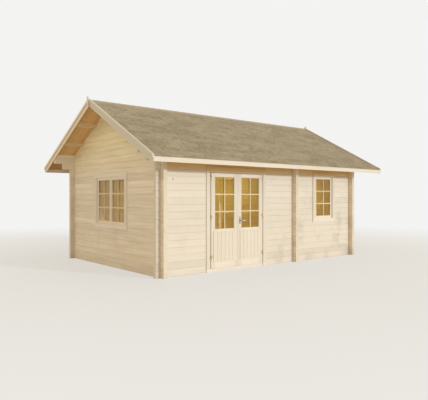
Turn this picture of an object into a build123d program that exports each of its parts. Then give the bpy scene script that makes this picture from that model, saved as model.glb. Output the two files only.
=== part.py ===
from build123d import *
import os
from math import cos, radians, tan

os.makedirs("parts", exist_ok=True)

# A log cabin with two rooms under one gable roof, in millimetres, +Z up.
# The origin lies on the ground under the middle of the plan. The front wall, with the double door,
# faces -Y, and the gable with the double window faces -X.
# Every wall is a stack of single logs. The logs of crossing walls are half a course apart, and each is
# notched above and below by a quarter course, so that the bare cores bear on each other at the corners.

# Log walls
cabin_length = 5800
cabin_width = 3850
log_thickness = 80
course = 133
groove = 5
log_gap = 0.3
notch_slack = 0.5
corner_reach = 100
partition_distance = 3575

# Rows of logs
side_rows = 17
door_rows = 15
window_sill_row = 7
window_head_row = 15
gable_sill_row = 6
gable_head_row = 14
doorway_rows = 14
partition_doorway_width = 800
partition_doorway_centre = 300

# Roof
pitch = 27.9
plate_rise = 166
corbel_reach = 280
deck_thickness = 19
deck_eave = 520
deck_gable = 474
shingle_thickness = 6
shingle_lip = 12
barge_rise = 24
cap_width = 140
cap_thickness = 5
fascia_thickness = 20
fascia_height = 90
barge_thickness = 20
barge_height = 138
strip_thickness = 16
strip_height = 52
finial_width = 60
finial_thickness = 14
finial_rise = 47
finial_drop = 150
finial_point = 25
purlin_width = 70
purlin_depth = 88
lower_purlin_inset = 540
upper_purlin_inset = 1225

# Floor
floor_gap = 0.3
joist_width = 60
joist_height = 41
joist_pitch = 560
board_thickness = 19

# Joinery
casing_thickness = 18
casing_width = 80
door_casing_lap = 12
window_casing_lap = 30
joint_gap = 0.3

# Double door
door_distance = 1872
leaf_width = 700
leaf_thickness = 42
leaf_gap = 5
jamb_width = 40
stop_width = 14
threshold_height = 60
stile_width = 96
top_rail = 75
glass_height = 1038
lock_rail = 90
bottom_rail = 178
panel_thickness = 14
board_lap = 45
board_rise = 12
board_pitch = 97
board_bevel = 5
door_glass_thickness = 8

# Windows
window_frame_width = 36
sash_width = 54
sash_thickness = 44
sash_setback = 6
window_glass_thickness = 14
window_width = 720
gable_window_width = 1320
sash_gap = 4
cover_strip_width = 30
cover_strip_thickness = 8

# Hinges and handle
barrel_radius = 8
barrel_length = 42
barrel_clearance = 0.5
pin_radius = 4
pin_clearance = 0.3
pin_length = 36
flap_thickness = 2
flap_width = 48
round_sides = 12
low_hinge_inset = 215
high_hinge_inset = 90
handle_height = 995
handle_inset = 55
plate_width = 40
plate_length = 150
plate_thickness = 5
lever_stem_radius = 8
lever_stand = 38
lever_length = 105
lever_height = 20
lever_depth = 12
lever_bevel = 5

# What follows from them
half_length = cabin_length / 2
half_width = cabin_width / 2
front_y = -half_width + log_thickness / 2
back_y = -front_y
left_x = -half_length + log_thickness / 2
right_x = -left_x
partition_x = -half_length + partition_distance + log_thickness / 2
cross_walls = (left_x, partition_x, right_x)
side_walls = (front_y, back_y)
half_course = course / 2
end_x = half_length + corner_reach
end_y = half_width + corner_reach
plate_bottom = side_rows * course
eaves_z = plate_bottom + plate_rise
slope = tan(radians(pitch))
deck_depth = deck_thickness / cos(radians(pitch))
shingle_depth = shingle_thickness / cos(radians(pitch))
cap_depth = cap_thickness / cos(radians(pitch))
deck_x = half_length + deck_gable
deck_y = half_width + deck_eave


def roof_z(y):
    """Height of the roof boards' underside at this y."""
    return eaves_z + (half_width - abs(y)) * slope


def save(piece, label):
    """Name a finished piece and write it."""
    piece.part.label = label
    export_step(piece.part, f"parts/{label}.step")


def side_lines(first, last):
    """Bottoms of the rows of a front or back wall."""
    return [row * course for row in range(first, last)]


def cross_lines(first, last):
    """Bottoms of the rows of a gable or partition wall, half a course up."""
    return [row * course + half_course for row in range(first, last)]


def log_profile(across, bottoms, height=course):
    """Sections of logs one above the other, with the outer bevels that make the V grooves. The logs of
    the partition, which has a room on both sides, stay square."""
    with Locations(*[(across, bottom + (height - log_gap) / 2) for bottom in bottoms]):
        rows = Rectangle(log_thickness, height - log_gap)
    if across != partition_x:
        outside = -1 if across > 0 else 0
        chamfer(rows.vertices().group_by(Axis.X)[outside], groove)


def notches(along_x, across, lines, crossings):
    """Cut the seats of the crossing logs above and below each bed line."""
    seat = log_thickness + 2 * notch_slack
    size = (seat, log_thickness * 2) if along_x else (log_thickness * 2, seat)
    spots = [(c, across, z) if along_x else (across, c, z) for c in crossings for z in lines]
    if spots:
        with Locations(*spots):
            Box(*size, half_course, mode=Mode.SUBTRACT)


def side_logs(x_from, x_to, y, bottoms):
    """Logs along X, notched where the cross walls meet them. To be called inside a part."""
    with BuildSketch(Plane.YZ.offset(x_from)) as section:
        log_profile(y, bottoms)
    extrude(section.sketch, amount=x_to - x_from)


def side_notches(x_from, x_to, y, bottoms):
    """Notches of the logs between two ends along X."""
    lines = sorted(set(bottoms) | {bottom + course for bottom in bottoms})
    notches(True, y, lines, [x for x in cross_walls if x_from < x < x_to])


def cross_logs(y_from, y_to, x, bottoms, height=course):
    """Logs along Y of a gable or partition wall. To be called inside a part."""
    with BuildSketch(Plane.XZ.offset(-y_to)) as section:
        log_profile(x, bottoms, height)
    extrude(section.sketch, amount=y_to - y_from)


def cross_notches(y_from, y_to, x, bottoms):
    """Notches of the logs between two ends along Y."""
    lines = sorted(set(bottoms) | {bottom + course for bottom in bottoms})
    notches(False, x, lines, [y for y in side_walls if y_from < y < y_to])


# Door and window openings in the logs
door_x = -half_length + door_distance
clear_width = 2 * leaf_width + 3 * leaf_gap
door_left = door_x - clear_width / 2 - jamb_width
door_right = door_x + clear_width / 2 + jamb_width
door_top = door_rows * course
window_x = (partition_x + right_x) / 2
window_left = window_x - window_width / 2
window_right = window_x + window_width / 2
window_bottom = window_sill_row * course
window_top = window_head_row * course
gable_window_bottom = gable_sill_row * course + half_course
gable_window_top = gable_head_row * course + half_course
doorway_front = partition_doorway_centre - partition_doorway_width / 2
doorway_back = partition_doorway_centre + partition_doorway_width / 2


# Front wall
lower_rows = side_lines(0, window_sill_row)
window_rows = side_lines(window_sill_row, window_head_row)
door_side_rows = side_lines(0, door_rows)

with BuildPart() as front_wall_left:
    side_logs(-end_x, door_left, front_y, door_side_rows)
    side_notches(-end_x, door_left, front_y, door_side_rows)
save(front_wall_left, "front_wall_left")

with BuildPart() as front_wall_right:
    side_logs(door_right, end_x, front_y, lower_rows)
    side_logs(door_right, window_left, front_y, window_rows)
    side_logs(window_right, end_x, front_y, window_rows)
    side_notches(door_right, end_x, front_y, door_side_rows)
save(front_wall_right, "front_wall_right")


# The two topmost rows of the long walls: the upper one runs out past the gables as a corbel.
corbel_x = half_length + corbel_reach


def top_logs(y):
    """Rows between the openings and the plate, inside a part."""
    middle = side_lines(door_rows, side_rows - 1)
    corbel = side_lines(side_rows - 1, side_rows)
    side_logs(-end_x, end_x, y, middle)
    side_logs(-corbel_x, corbel_x, y, corbel)
    side_notches(-corbel_x, corbel_x, y, middle + corbel)


with BuildPart() as front_wall_over_door:
    top_logs(front_y)
save(front_wall_over_door, "front_wall_over_door")

with BuildPart() as back_wall:
    side_logs(-end_x, end_x, back_y, door_side_rows)
    side_notches(-end_x, end_x, back_y, door_side_rows)
    top_logs(back_y)
save(back_wall, "back_wall")


def wall_plate(side):
    """Bevelled log that carries the rafters' boards, out to the barge boards; side is -1 or 1."""
    outer = half_width
    inner = half_width - log_thickness
    with BuildSketch(Plane.YZ.offset(-deck_x)) as section:
        with BuildLine():
            Polyline(
                (side * outer, plate_bottom + groove),
                (side * (outer - groove), plate_bottom),
                (side * inner, plate_bottom),
                (side * inner, roof_z(inner)),
                (side * outer, roof_z(outer)),
                close=True,
            )
        make_face()
    extrude(section.sketch, amount=2 * deck_x)
    notches(True, side * abs(front_y), [plate_bottom, plate_bottom + course], cross_walls)


with BuildPart() as front_plate:
    wall_plate(-1)
save(front_plate, "front_plate")

with BuildPart() as back_plate:
    wall_plate(1)
save(back_plate, "back_plate")


# Left wall, with the double window, and the other cross walls
bottom_log = [0]
below_sill = cross_lines(0, gable_sill_row)
beside_gable_window = cross_lines(gable_sill_row, gable_head_row)
eaves_row = side_rows
above_gable_window = cross_lines(gable_head_row, eaves_row)
gable_rows = cross_lines(eaves_row, int(roof_z(0) / course + 0.5))
gable_window_side = gable_window_width / 2


def bottom_half_log(y_from, y_to, x):
    """Half-height first log of a cross wall, inside a part."""
    cross_logs(y_from, y_to, x, bottom_log, half_course)


whole_wall = cross_lines(0, eaves_row)

with BuildPart() as left_wall:
    bottom_half_log(-end_y, end_y, left_x)
    cross_logs(-end_y, end_y, left_x, below_sill)
    cross_logs(-end_y, -gable_window_side, left_x, beside_gable_window)
    cross_logs(gable_window_side, end_y, left_x, beside_gable_window)
    cross_logs(-end_y, end_y, left_x, above_gable_window)
    cross_notches(-end_y, end_y, left_x, whole_wall)
save(left_wall, "left_wall")

with BuildPart() as right_wall:
    bottom_half_log(-end_y, end_y, right_x)
    cross_logs(-end_y, end_y, right_x, whole_wall)
    cross_notches(-end_y, end_y, right_x, whole_wall)
save(right_wall, "right_wall")

beside_doorway = cross_lines(0, doorway_rows)
above_doorway = cross_lines(doorway_rows, eaves_row)

with BuildPart() as partition_front:
    bottom_half_log(-end_y, doorway_front, partition_x)
    cross_logs(-end_y, doorway_front, partition_x, beside_doorway)
    cross_notches(-end_y, doorway_front, partition_x, beside_doorway)
save(partition_front, "partition_front")

with BuildPart() as partition_back:
    bottom_half_log(doorway_back, end_y, partition_x)
    cross_logs(doorway_back, end_y, partition_x, beside_doorway)
    cross_notches(doorway_back, end_y, partition_x, beside_doorway)
save(partition_back, "partition_back")

with BuildPart() as partition_over_doorway:
    cross_logs(-end_y, end_y, partition_x, above_doorway)
    cross_notches(-end_y, end_y, partition_x, above_doorway)
save(partition_over_doorway, "partition_over_doorway")


# Gables: the rows above the eaves, cut to the slopes and let in for the purlins
lower_purlin_y = half_width - lower_purlin_inset
upper_purlin_y = half_width - upper_purlin_inset
purlin_lines = (-lower_purlin_y, -upper_purlin_y, upper_purlin_y, lower_purlin_y, 0)
ridge_z = roof_z(0)


def purlin_bottom(y):
    """Underside of the purlin in this line, a full depth under the boards on its higher face."""
    return roof_z(max(0, abs(y) - purlin_width / 2)) - purlin_depth


def gable(x):
    """Logs of one gable above the eaves, inside a part."""
    cross_logs(-end_y, end_y, x, gable_rows)
    cross_notches(-end_y, end_y, x, gable_rows[:1])
    with BuildSketch(Plane.YZ.offset(x)) as section:
        with BuildLine():
            Polyline(
                (-end_y, eaves_z - course),
                (-end_y, roof_z(end_y)),
                (0, ridge_z),
                (end_y, roof_z(end_y)),
                (end_y, eaves_z - course),
                close=True,
            )
        make_face()
    extrude(section.sketch, amount=log_thickness, both=True, mode=Mode.INTERSECT)
    pocket = (2 * log_thickness, purlin_width + 2 * notch_slack, ridge_z - eaves_z)
    for y in purlin_lines:
        with Locations((x, y, purlin_bottom(y))):
            Box(*pocket, align=(Align.CENTER, Align.CENTER, Align.MIN), mode=Mode.SUBTRACT)


with BuildPart() as left_gable:
    gable(left_x)
save(left_gable, "left_gable")

with BuildPart() as right_gable:
    gable(right_x)
save(right_gable, "right_gable")

with BuildPart() as partition_gable:
    gable(partition_x)
save(partition_gable, "partition_gable")


# Purlins
def purlin(y):
    """Squared timber with its top bevelled to the slope, inside a part."""
    bottom = purlin_bottom(y)
    near = y - purlin_width / 2
    far = y + purlin_width / 2
    top = [(far, roof_z(far)), (near, roof_z(near))]
    if near < 0 < far:
        top.insert(1, (0, ridge_z))
    with BuildSketch(Plane.YZ.offset(-deck_x)) as section:
        with BuildLine():
            Polyline((near, bottom), (far, bottom), *top, close=True)
        make_face()
    extrude(section.sketch, amount=2 * deck_x)


with BuildPart() as side_purlins:
    for y in purlin_lines[:-1]:
        purlin(y)
save(side_purlins, "side_purlins")

with BuildPart() as ridge_purlin:
    purlin(purlin_lines[-1])
save(ridge_purlin, "ridge_purlin")


# Roof covering: boards, shingles and ridge cap, one piece a slope
def slope_slab(side, reach_x, reach_y, low, high):
    """Slab on one slope between two heights over the boards' underside; mitred at the ridge."""
    with BuildSketch(Plane.YZ.offset(-reach_x)) as section:
        with BuildLine():
            Polyline(
                (side * reach_y, roof_z(reach_y) + low),
                (0, ridge_z + low),
                (0, ridge_z + high),
                (side * reach_y, roof_z(reach_y) + high),
                close=True,
            )
        make_face()
    extrude(section.sketch, amount=2 * reach_x)


shingle_top = deck_depth + shingle_depth
shingle_y = deck_y + fascia_thickness + shingle_lip

for side, word in ((-1, "front"), (1, "back")):
    with BuildPart() as roof_boards:
        slope_slab(side, deck_x, deck_y, 0, deck_depth)
    save(roof_boards, f"roof_boards_{word}")

    with BuildPart() as shingles:
        slope_slab(side, deck_x, shingle_y, deck_depth, shingle_top)
    save(shingles, f"shingles_{word}")

with BuildPart() as ridge_cap:
    with BuildSketch(Plane.YZ.offset(-deck_x)) as section:
        with BuildLine():
            Polyline(
                (-cap_width, roof_z(cap_width) + shingle_top),
                (0, ridge_z + shingle_top),
                (cap_width, roof_z(cap_width) + shingle_top),
                (cap_width, roof_z(cap_width) + shingle_top + cap_depth),
                (0, ridge_z + shingle_top + cap_depth),
                (-cap_width, roof_z(cap_width) + shingle_top + cap_depth),
                close=True,
            )
        make_face()
    extrude(section.sketch, amount=2 * deck_x)
save(ridge_cap, "ridge_cap")


# Fascia boards along the eaves
fascia_y = deck_y + fascia_thickness
fascia_top = roof_z(fascia_y) + deck_depth
fascia_bottom = fascia_top - fascia_height

with BuildPart() as fascia_boards:
    for side in (-1, 1):
        with BuildSketch(Plane.YZ.offset(-deck_x)) as section:
            with BuildLine():
                Polyline(
                    (side * deck_y, fascia_bottom),
                    (side * deck_y, roof_z(deck_y) + deck_depth),
                    (side * fascia_y, fascia_top),
                    (side * fascia_y, fascia_bottom),
                    close=True,
                )
            make_face()
        extrude(section.sketch, amount=2 * deck_x)
save(fascia_boards, "fascia_boards")


# Barge boards and their cover strips along the gables' slopes
barge_top = shingle_top + barge_rise


def sloping_board(x_from, thickness, side, height):
    """Board along the roof edge, cut plumb at the ridge and level at the eaves, inside a part."""
    drop = height / cos(radians(pitch))
    joint_y = joint_gap / 2
    end_top = roof_z(fascia_y) + barge_top
    level = max(fascia_bottom, end_top - drop)
    level_y = min(half_width + (eaves_z + barge_top - drop - level) / slope, fascia_y - 1)
    with BuildSketch(Plane.YZ.offset(x_from)) as section:
        with BuildLine():
            Polyline(
                (side * joint_y, roof_z(joint_y) + barge_top),
                (side * fascia_y, end_top),
                (side * fascia_y, level),
                (side * level_y, level),
                (side * joint_y, roof_z(joint_y) + barge_top - drop),
                close=True,
            )
        make_face()
    extrude(section.sketch, amount=thickness)


def board_x(end, distance, thickness):
    """Lower x of a board that stands this far out at one end of the roof; end is -1 or 1."""
    return distance if end > 0 else -distance - thickness


strip_x = deck_x + barge_thickness
ends = ((-1, "left"), (1, "right"))

for end, word in ends:
    with BuildPart() as barge_boards:
        for side in (-1, 1):
            sloping_board(board_x(end, deck_x, barge_thickness), barge_thickness, side, barge_height)
    save(barge_boards, f"barge_boards_{word}")

with BuildPart() as barge_strips:
    for end, word in ends:
        for side in (-1, 1):
            sloping_board(board_x(end, strip_x, strip_thickness), strip_thickness, side, strip_height)
save(barge_strips, "barge_strips")

finial_top = ridge_z + barge_top + finial_rise
finial_bottom = ridge_z - finial_drop

with BuildPart() as finials:
    for end, word in ends:
        finial_x = board_x(end, strip_x + strip_thickness, finial_thickness)
        with BuildSketch(Plane.YZ.offset(finial_x)) as section:
            with BuildLine():
                Polyline(
                    (-finial_width / 2, finial_bottom + finial_point),
                    (0, finial_bottom),
                    (finial_width / 2, finial_bottom + finial_point),
                    (finial_width / 2, finial_top - finial_point),
                    (0, finial_top),
                    (-finial_width / 2, finial_top - finial_point),
                    close=True,
                )
            make_face()
        extrude(section.sketch, amount=finial_thickness)
save(finials, "finials")


# Floors: boards on joists, one floor a room
floor_top = joist_height + board_thickness
room_front = -half_width + log_thickness + floor_gap
room_back = -room_front
main_left = -half_length + log_thickness + floor_gap
main_right = partition_x - log_thickness / 2 - floor_gap
side_left = partition_x + log_thickness / 2 + floor_gap
side_right = half_length - log_thickness - floor_gap


def room_box(x_from, x_to, z_from, z_to):
    """Flat box over a room's floor, inside a part."""
    with BuildSketch(Plane.XY.offset(z_from)) as section:
        with Locations(((x_from + x_to) / 2, (room_front + room_back) / 2)):
            Rectangle(x_to - x_from, room_back - room_front)
    extrude(section.sketch, amount=z_to - z_from)


def joists(x_from, x_to):
    """Joists along Y at an even spacing from wall to wall, inside a part."""
    span = x_to - x_from - joist_width
    bays = max(1, round(span / joist_pitch))
    with BuildSketch(Plane.XY) as section:
        with Locations(*[(x_from + joist_width / 2 + span * n / bays, 0) for n in range(bays + 1)]):
            Rectangle(joist_width, room_back - room_front)
    extrude(section.sketch, amount=joist_height)


with BuildPart() as floor_joists:
    joists(main_left, main_right)
    joists(side_left, side_right)
save(floor_joists, "floor_joists")

with BuildPart() as main_room_floor:
    room_box(main_left, main_right, joist_height, floor_top)
save(main_room_floor, "main_room_floor")

with BuildPart() as side_room_floor:
    room_box(side_left, side_right, joist_height, floor_top)
save(side_room_floor, "side_room_floor")


# Door frame: threshold, jambs and head, each with a stop behind the leaves
outer_face = -half_width
inner_face = -half_width + log_thickness
leaf_face = outer_face - casing_thickness
leaf_back = leaf_face + leaf_thickness
stop_face = leaf_back + leaf_gap
clear_left = door_left + jamb_width
clear_right = door_right - jamb_width
head_bottom = door_top - jamb_width
leaf_bottom = threshold_height + leaf_gap
leaf_top = head_bottom - leaf_gap


def jamb(opening, side):
    """Upright of the door frame, with its stop; side is 1 at the left of the doors and -1 at the right."""
    clear = opening + side * jamb_width
    with BuildSketch(Plane.XY.offset(threshold_height + joint_gap)) as section:
        with BuildLine():
            Polyline(
                (opening, outer_face),
                (clear, outer_face),
                (clear, stop_face),
                (clear + side * stop_width, stop_face),
                (clear + side * stop_width, inner_face),
                (opening, inner_face),
                close=True,
            )
        make_face()
    extrude(section.sketch, amount=head_bottom - threshold_height - 2 * joint_gap)


def frame_rail(low, high, stop_low, stop_high):
    """Head or threshold of the door frame with the stop between the jambs' stops."""
    with BuildSketch(Plane.YZ.offset(door_left)) as section:
        with Locations(((outer_face + inner_face) / 2, (low + high) / 2)):
            Rectangle(log_thickness, high - low)
    extrude(section.sketch, amount=door_right - door_left)
    stop_left = clear_left + stop_width + joint_gap
    stop_right = clear_right - stop_width - joint_gap
    with BuildSketch(Plane.YZ.offset(stop_left)) as section:
        with Locations(((stop_face + inner_face) / 2, (stop_low + stop_high) / 2)):
            Rectangle(inner_face - stop_face, stop_high - stop_low)
    extrude(section.sketch, amount=stop_right - stop_left)


with BuildPart() as door_frame:
    jamb(door_left, 1)
    jamb(door_right, -1)
    frame_rail(0, threshold_height, threshold_height, threshold_height + stop_width)
    frame_rail(head_bottom, door_top, head_bottom - stop_width, head_bottom)
save(door_frame, "door_frame")


# Casings: flat boards round an opening, on the outside and the inside of the wall
front_out = Plane(origin=(0, outer_face, 0), x_dir=(1, 0, 0), z_dir=(0, -1, 0))
front_in = Plane(origin=(0, inner_face + casing_thickness, 0), x_dir=(1, 0, 0), z_dir=(0, -1, 0))
left_out = Plane(origin=(-half_length, 0, 0), x_dir=(0, -1, 0), z_dir=(-1, 0, 0))
left_in = Plane(
    origin=(-half_length + log_thickness + casing_thickness, 0, 0), x_dir=(0, -1, 0), z_dir=(-1, 0, 0)
)


def strip(plane, x_from, x_to, z_from, z_to, thickness):
    """Flat board on a wall plane, inside a part."""
    with BuildSketch(plane) as section:
        with Locations(((x_from + x_to) / 2, (z_from + z_to) / 2)):
            Rectangle(x_to - x_from, z_to - z_from)
    extrude(section.sketch, amount=thickness)


def casing(planes, left, right, bottom, top, lap, has_sill):
    """Side boards and head board, and a sill board at a window, lapping the frame."""
    inner_left = left + lap
    inner_right = right - lap
    inner_top = top - lap
    inner_bottom = bottom + lap if has_sill else bottom
    side_bottom = inner_bottom + joint_gap if has_sill else bottom
    for plane in planes:
        for x_from in (inner_left - casing_width, inner_right):
            x_to = x_from + casing_width
            strip(plane, x_from, x_to, side_bottom, inner_top - joint_gap, casing_thickness)
        outer_left = inner_left - casing_width
        outer_right = inner_right + casing_width
        strip(plane, outer_left, outer_right, inner_top, inner_top + casing_width, casing_thickness)
        if has_sill:
            strip(
                plane, outer_left, outer_right, inner_bottom - casing_width, inner_bottom, casing_thickness
            )


with BuildPart() as door_casing:
    casing([front_out], door_left, door_right, 0, door_top, door_casing_lap, False)
    casing([front_in], door_left, door_right, floor_top, door_top, door_casing_lap, False)
save(door_casing, "door_casing")

with BuildPart() as front_window_casing:
    casing(
        [front_out, front_in],
        window_left,
        window_right,
        window_bottom,
        window_top,
        window_casing_lap,
        True,
    )
save(front_window_casing, "front_window_casing")

with BuildPart() as gable_window_casing:
    casing(
        [left_out, left_in],
        -gable_window_side,
        gable_window_side,
        gable_window_bottom,
        gable_window_top,
        window_casing_lap,
        True,
    )
save(gable_window_casing, "gable_window_casing")


# Windows: frame lining the wall, sashes in it and a pane in each sash
def window_lights(left, right, count):
    """Left and right edges of the sashes, which meet at a narrow gap where there are two."""
    width = (right - left - 2 * window_frame_width - (count - 1) * sash_gap) / count
    starts = [left + window_frame_width + n * (width + sash_gap) for n in range(count)]
    return [(start, start + width) for start in starts]


def window_frame(plane, left, right, bottom, top):
    """Frame round the opening, inside a part."""
    width = right - left
    height = top - bottom
    with BuildSketch(plane) as section:
        with Locations(((left + right) / 2, (bottom + top) / 2)):
            Rectangle(width, height)
            Rectangle(width - 2 * window_frame_width, height - 2 * window_frame_width, mode=Mode.SUBTRACT)
    extrude(section.sketch, amount=-log_thickness)


def sashes(plane, left, right, bottom, top, count, is_glass):
    """Sash frames, or the panes that fill them, inside a part."""
    low = bottom + window_frame_width
    high = top - window_frame_width
    thickness = window_glass_thickness if is_glass else sash_thickness
    setback = sash_setback + (sash_thickness - thickness) / 2
    with BuildSketch(plane.offset(-setback)) as section:
        for light_left, light_right in window_lights(left, right, count):
            with Locations(((light_left + light_right) / 2, (low + high) / 2)):
                pane_width = light_right - light_left - 2 * sash_width
                pane_height = high - low - 2 * sash_width
                if is_glass:
                    Rectangle(pane_width, pane_height)
                else:
                    Rectangle(light_right - light_left, high - low)
                    Rectangle(pane_width, pane_height, mode=Mode.SUBTRACT)
    extrude(section.sketch, amount=-thickness)


def cover_strip(plane, left, right, bottom, top):
    """Strip over the gap where two sashes meet, inside a part."""
    face = plane.offset(joint_gap - sash_setback)
    strip_left = (left + right - cover_strip_width) / 2
    low = bottom + window_frame_width
    high = top - window_frame_width
    strip(face, strip_left, strip_left + cover_strip_width, low, high, cover_strip_thickness)


front_window_size = (window_left, window_right, window_bottom, window_top)
gable_window_size = (-gable_window_side, gable_window_side, gable_window_bottom, gable_window_top)

for word, plane, size, count in (
    ("front", front_out, front_window_size, 1),
    ("gable", left_out, gable_window_size, 2),
):
    with BuildPart() as frame:
        window_frame(plane, *size)
    save(frame, f"{word}_window_frame")

    with BuildPart() as sash:
        sashes(plane, *size, count, False)
        if count > 1:
            cover_strip(plane, *size)
    save(sash, f"{word}_window_sash")

    with BuildPart() as glass:
        sashes(plane, *size, count, True)
    save(glass, f"{word}_window_glass")


# Door leaves: framed, glazed above the lock rail and boarded below it
glass_top = leaf_top - top_rail
glass_bottom = glass_top - glass_height
panel_top = glass_bottom - lock_rail
panel_bottom = leaf_bottom + bottom_rail
leaf_plane = Plane(origin=(0, leaf_face, 0), x_dir=(1, 0, 0), z_dir=(0, -1, 0))


def leaf_field(x_from, low, high, thickness):
    """Pane or panel between a leaf's stiles, midway in its thickness, inside a part."""
    plane = leaf_plane.offset(-(leaf_thickness - thickness) / 2)
    strip(plane, x_from + stile_width, x_from + leaf_width - stile_width, low, high, -thickness)


def leaf_boards(x_from):
    """Upright boards with bevelled edges on a leaf's outside, round its lower field, inside a part."""
    left = x_from + stile_width - board_lap
    right = x_from + leaf_width - stile_width + board_lap
    count = max(1, round((right - left) / board_pitch))
    width = (right - left) / count
    middles = [(left + (n + 0.5) * width, leaf_face - board_rise / 2) for n in range(count)]
    with BuildSketch(Plane.XY.offset(panel_bottom - board_lap)) as section:
        with Locations(*middles):
            boards = Rectangle(width - joint_gap, board_rise)
        chamfer(boards.vertices().group_by(Axis.Y)[0], board_bevel)
    extrude(section.sketch, amount=panel_top - panel_bottom + 2 * board_lap)


def leaf_frame(x_from):
    """Stiles and rails of a leaf, inside a part."""
    field_width = leaf_width - 2 * stile_width
    middle = x_from + leaf_width / 2
    with BuildSketch(leaf_plane) as section:
        with Locations((middle, (leaf_bottom + leaf_top) / 2)):
            Rectangle(leaf_width, leaf_top - leaf_bottom)
        with Locations((middle, (glass_bottom + glass_top) / 2)):
            Rectangle(field_width, glass_height, mode=Mode.SUBTRACT)
        with Locations((middle, (panel_bottom + panel_top) / 2)):
            Rectangle(field_width, panel_top - panel_bottom, mode=Mode.SUBTRACT)
    extrude(section.sketch, amount=-leaf_thickness)


left_leaf_x = clear_left + leaf_gap
right_leaf_x = clear_right - leaf_gap - leaf_width

for word, leaf_x in (("left", left_leaf_x), ("right", right_leaf_x)):
    with BuildPart() as leaf:
        leaf_frame(leaf_x)
    save(leaf, f"{word}_leaf_frame")

    with BuildPart() as panel:
        leaf_field(leaf_x, panel_bottom, panel_top, panel_thickness)
        leaf_boards(leaf_x)
    save(panel, f"{word}_leaf_panel")

    with BuildPart() as glass:
        leaf_field(leaf_x, glass_bottom, glass_top, door_glass_thickness)
    save(glass, f"{word}_leaf_glass")


# Hinges: a lower barrel with a pin on the frame, and an upper barrel on the leaf that turns on it
hinge_y = leaf_face - barrel_radius - barrel_clearance
hinge_left_x = clear_left + leaf_gap / 2
hinge_right_x = clear_right - leaf_gap / 2
low_hinge = leaf_bottom + low_hinge_inset
high_hinge = leaf_top - high_hinge_inset
hinge_heights = (low_hinge, (low_hinge + high_hinge) / 2, high_hinge)


def flap(axis_x, side, low):
    """Flat flap of a hinge half, from its barrel outwards over the wood, inside a part."""
    middle = (axis_x + side * flap_width / 2, leaf_face - flap_thickness / 2, low + barrel_length / 2)
    with Locations(middle):
        Box(flap_width, flap_thickness, barrel_length)


def prism(axis_x, low, radius, length, mode=Mode.ADD):
    """Upright barrel with flat facets about a hinge's axis, inside a part."""
    with BuildSketch(Plane.XY.offset(low)) as section:
        with Locations((axis_x, hinge_y)):
            RegularPolygon(radius, round_sides)
    extrude(section.sketch, amount=length, mode=mode)


def frame_hinge(axis_x, side, height):
    """Lower half, with the round pin, inside a part."""
    low = height - barrel_length - barrel_clearance
    flap(axis_x, side, low)
    prism(axis_x, low, barrel_radius, barrel_length)
    with Locations((axis_x, hinge_y, low + barrel_length)):
        Cylinder(pin_radius, pin_length, align=(Align.CENTER, Align.CENTER, Align.MIN))


def leaf_hinge(axis_x, side, height):
    """Upper half, with the bore for the pin, inside a part."""
    flap(axis_x, side, height)
    prism(axis_x, height, barrel_radius, barrel_length)
    prism(axis_x, height, pin_radius + pin_clearance, pin_length, Mode.SUBTRACT)


with BuildPart() as frame_hinges:
    for height in hinge_heights:
        frame_hinge(hinge_left_x, -1, height)
        frame_hinge(hinge_right_x, 1, height)
save(frame_hinges, "frame_hinges")

with BuildPart() as left_leaf_hinges:
    for height in hinge_heights:
        leaf_hinge(hinge_left_x, 1, height)
save(left_leaf_hinges, "left_leaf_hinges")

with BuildPart() as right_leaf_hinges:
    for height in hinge_heights:
        leaf_hinge(hinge_right_x, -1, height)
save(right_leaf_hinges, "right_leaf_hinges")


# Lever handles on both sides of the right leaf
handle_x = right_leaf_x + handle_inset


def lever_handle(face, side):
    """Long plate with a lever that points to the hinges; side is -1 outside and 1 inside."""
    with Locations((handle_x, face + side * plate_thickness / 2, handle_height)):
        Box(plate_width, plate_thickness, plate_length)
    with BuildSketch(Plane.XZ.offset(-face)) as section:
        with Locations((handle_x, handle_height)):
            RegularPolygon(lever_stem_radius, round_sides)
    extrude(section.sketch, amount=-side * (plate_thickness + lever_stand))
    lever_x = handle_x - lever_height / 2 + lever_length / 2
    lever_y = face + side * (plate_thickness + lever_stand + lever_depth / 2)
    with Locations((lever_x, lever_y, handle_height)):
        lever = Box(lever_length, lever_depth, lever_height)
    chamfer(lever.edges().filter_by(Axis.Y), lever_bevel)


with BuildPart() as door_handle:
    lever_handle(leaf_face, -1)
    lever_handle(leaf_back, 1)
save(door_handle, "door_handle")
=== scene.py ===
from math import cos, radians, sin, tan

import bmesh
import bpy
from mathutils import Matrix, Vector


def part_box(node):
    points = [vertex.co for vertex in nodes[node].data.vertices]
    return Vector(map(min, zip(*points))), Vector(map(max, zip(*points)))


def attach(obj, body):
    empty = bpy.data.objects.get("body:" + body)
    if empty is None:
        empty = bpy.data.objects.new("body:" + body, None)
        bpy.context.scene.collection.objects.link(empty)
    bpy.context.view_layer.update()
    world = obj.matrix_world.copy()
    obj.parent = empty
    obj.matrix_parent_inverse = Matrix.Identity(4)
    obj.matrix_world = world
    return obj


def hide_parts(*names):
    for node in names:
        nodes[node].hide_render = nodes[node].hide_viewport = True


# Looks of a log cabin: timber, shingles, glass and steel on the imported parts, and the small pieces that
# repeat: shingle tabs, soffit and floor boards, glazing bars and beads, screws. All lengths in metres.

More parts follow.
